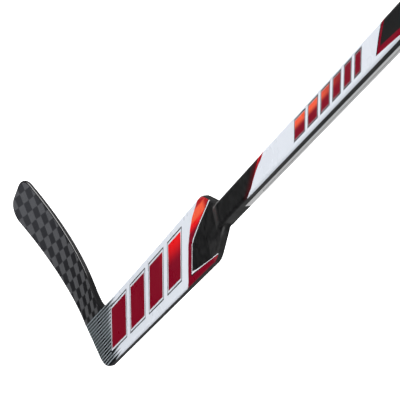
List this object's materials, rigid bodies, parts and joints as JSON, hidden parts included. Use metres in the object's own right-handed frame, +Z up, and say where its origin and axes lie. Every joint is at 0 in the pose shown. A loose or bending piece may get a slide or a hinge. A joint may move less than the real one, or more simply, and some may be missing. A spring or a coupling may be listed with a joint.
{
  "type": "hockey goalkeeper stick",
  "caption": "Ice hockey goalkeeper's stick: curved carbon blade joined at an angle to a broad foam-core paddle, which narrows at a shoulder into a slim hollow shaft with a butt plug.",
  "frame": {"origin": "on the flat sole of the blade, in the paddle's middle plane, 7.5 mm towards the toe from the foot of the joint between blade and paddle", "axes": "+Z up from the ice in the playing stance, -X along the sole towards the toe, -Y out of the blade's front face, the side to which it bends"},
  "size_m": [1.0246, 0.0797, 1.3593],
  "materials": {
    "laminate": "fibre laminate under the printed film",
    "black_satin": "black satin lacquer on fibre laminate",
    "core_laminate": "raw fibre laminate, hidden inside",
    "foam": "rigid closed-cell foam, hidden inside",
    "butt_rubber": "matt moulded plug",
    "white_film": "printed white film under clear lacquer",
    "black_film": "printed black film under clear lacquer",
    "silver_film": "pale silver film",
    "carbon_weave": "broad chequered carbon weave under satin resin",
    "carbon_edge": "dark resin-rich rim"
  },
  "bodies": {
    "root": {"paddle_front_skin": "laminate", "paddle_back_skin": "laminate", "paddle_upper_rail": "black_satin", "paddle_under_rail": "black_satin", "heel_edge": "black_satin", "heel_block": "core_laminate", "paddle_foam_upper": "foam", "paddle_foam_lower": "foam", "paddle_spine": "core_laminate", "shaft_tenon": "core_laminate", "shoulder_front": "black_satin", "shoulder_back": "black_satin", "shaft_tube": "black_satin", "butt_plug": "butt_rubber", "paddle_front_film": "white_film", "paddle_back_film": "white_film", "shaft_front_film": "white_film", "shaft_back_film": "white_film", "shaft_top_front_film": "black_film", "shaft_top_back_film": "black_film", "shaft_under_strip": "silver_film", "blade_front_skin": "carbon_weave", "blade_back_skin": "carbon_weave", "blade_top_edge": "carbon_edge", "blade_sole_edge": "carbon_edge", "blade_toe_edge": "carbon_edge", "blade_rib": "core_laminate", "blade_foam_upper": "foam", "blade_foam_lower": "foam"}
  },
  "joints": []
}
